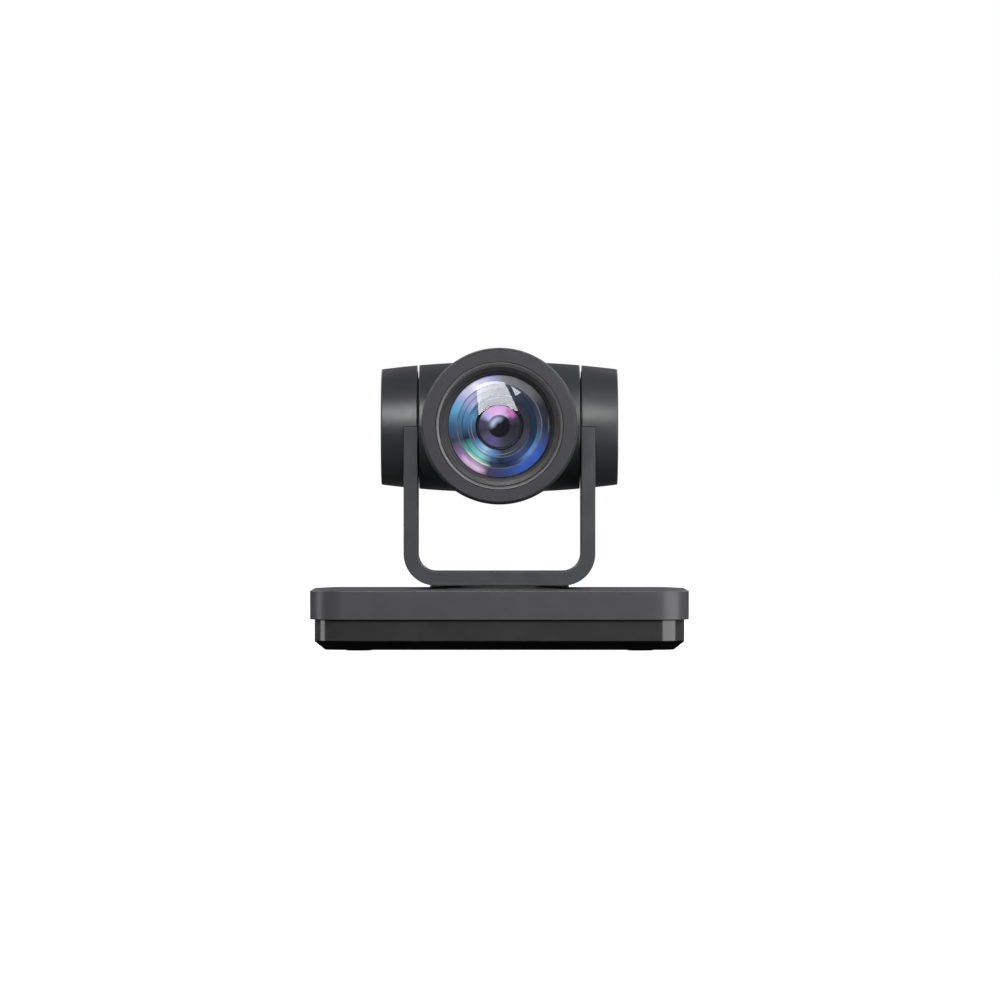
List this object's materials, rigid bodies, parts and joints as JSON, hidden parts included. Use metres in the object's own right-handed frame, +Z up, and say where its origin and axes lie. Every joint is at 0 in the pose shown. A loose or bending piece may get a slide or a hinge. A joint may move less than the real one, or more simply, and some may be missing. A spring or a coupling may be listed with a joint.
{
  "type": "pan tilt zoom camera",
  "caption": "Desktop conference camera: a flat slab base, a U-shaped yoke that pans on it, and a drum-shaped lens head that tilts between the yoke's arms.",
  "frame": {"origin": "on the surface that the feet stand on, under the pan axis, which is the middle of the base", "axes": "the lens looks along -Y at rest, +X is to the right of someone facing the lens, +Z is up along the pan axis"},
  "size_m": [0.21, 0.142, 0.1679],
  "materials": {
    "grey_shell": "fine satin grey plastic",
    "smoked_band": "glossy smoked plastic that infrared light passes",
    "black_plastic": "black moulded plastic",
    "yoke_paint": "satin blue-grey paint on cast metal",
    "head_shell": "satin dark blue-grey plastic",
    "bezel_grey": "matte dark grey plastic",
    "trim_metal": "turned and anodised grey",
    "machined": "machined aluminium",
    "steel": "plated and brushed steel",
    "brass": "turned brass",
    "circuit_board": "green solder resist",
    "rubber": "matte black rubber",
    "gear_plastic": "off-white acetal",
    "coated_glass": "optical glass with a blue and violet coating",
    "ribbon": "grey flat cable"
  },
  "bodies": {
    "base": {"base_tray": "black_plastic", "foot_1": "rubber", "foot_2": "rubber", "foot_3": "rubber", "foot_4": "rubber", "tripod_insert": "brass", "ir_band": "smoked_band", "base_cover": "grey_shell", "rear_panel": "steel", "power_jack": "black_plastic", "rj45_jack": "steel", "usb_port": "steel", "hdmi_port": "steel", "sdi_connector": "steel", "audio_jack": "black_plastic", "serial_in": "black_plastic", "serial_out": "black_plastic", "main_board": "circuit_board", "ir_receiver": "black_plastic", "pan_plate": "steel", "pan_bearing": "steel", "pan_motor": "steel", "pan_sensor": "circuit_board"},
    "dial": {"address_dial": "black_plastic"},
    "pan_drive": {"pan_pinion": "brass"},
    "yoke": {"turntable": "black_plastic", "pan_shaft": "machined", "pan_gear": "gear_plastic", "yoke_frame": "yoke_paint", "yoke_liner": "yoke_paint", "ribbon_cable": "ribbon", "left_end_housing": "head_shell", "right_end_housing": "head_shell", "left_end_cover": "head_shell", "right_end_cover": "head_shell", "tilt_bearing_left": "steel", "tilt_bearing_right": "steel", "tilt_motor": "steel", "tilt_sensor": "circuit_board"},
    "tilt_drive": {"tilt_pinion": "brass"},
    "head": {"head_top_shell": "head_shell", "head_bottom_shell": "head_shell", "front_bezel": "bezel_grey", "trim_ring": "trim_metal", "lens_baffle": "black_plastic", "front_glass": "coated_glass", "lens_barrel": "black_plastic", "lens_chassis": "black_plastic", "sensor_board": "circuit_board", "heat_sink": "machined", "tilt_hub_left": "machined", "tilt_hub_right": "machined", "tilt_gear": "gear_plastic", "zoom_motor": "steel", "focus_motor": "steel"},
    "zoom_lens": {"zoom_group": "coated_glass"},
    "zoom_drive": {"zoom_screw": "steel"},
    "focus_lens": {"focus_group": "coated_glass"},
    "focus_drive": {"focus_screw": "steel"},
    "filter": {"ir_cut_filter": "coated_glass"}
  },
  "joints": [
    {"name": "pan", "type": "hinge", "parent": "base", "child": "yoke", "pos_m": [0, 0, 0.0354], "axis": [0, 0, 1], "range_deg": [-170, 170]},
    {"name": "tilt", "type": "hinge", "parent": "yoke", "child": "head", "pos_m": [0, 0, 0.1244], "axis": [-1, 0, 0], "range_deg": [-30, 90]},
    {"name": "pan_pinion_turn", "type": "hinge", "parent": "base", "child": "pan_drive", "pos_m": [0.036, 0, 0.0214], "axis": [0, 0, 1], "range_deg": [-512, 512]},
    {"name": "tilt_pinion_turn", "type": "hinge", "parent": "yoke", "child": "tilt_drive", "pos_m": [0.062, 0, 0.1046], "axis": [-1, 0, 0], "range_deg": [-242, 82]},
    {"name": "zoom", "type": "slide", "parent": "head", "child": "zoom_lens", "axis": [0, 1, 0], "range_m": [-0.002, 0.018]},
    {"name": "zoom_screw_turn", "type": "hinge", "parent": "head", "child": "zoom_drive", "pos_m": [0.01032, 0, 0.13472], "axis": [0, 1, 0], "range_deg": [-185, 1625]},
    {"name": "focus", "type": "slide", "parent": "head", "child": "focus_lens", "axis": [0, 1, 0], "range_m": [-0.003, 0.008]},
    {"name": "focus_screw_turn", "type": "hinge", "parent": "head", "child": "focus_drive", "pos_m": [0.01032, 0, 0.11408], "axis": [0, 1, 0], "range_deg": [-275, 725]},
    {"name": "filter", "type": "slide", "parent": "head", "child": "filter", "axis": [1, 0, 0], "range_m": [0, 0.0144]},
    {"name": "dial_turn", "type": "hinge", "parent": "base", "child": "dial", "pos_m": [-0.067, 0.0588, 0.016], "axis": [0, 1, 0], "continuous": true}
  ],
  "couplings": [
    {"joint": "pan_pinion_turn", "follows": "pan", "ratio": -3},
    {"joint": "tilt_pinion_turn", "follows": "tilt", "ratio": -2.6667},
    {"joint": "zoom_screw_turn", "follows": "zoom", "rad_per_m": 1570.8},
    {"joint": "focus_screw_turn", "follows": "focus", "rad_per_m": 1570.8}
  ]
}
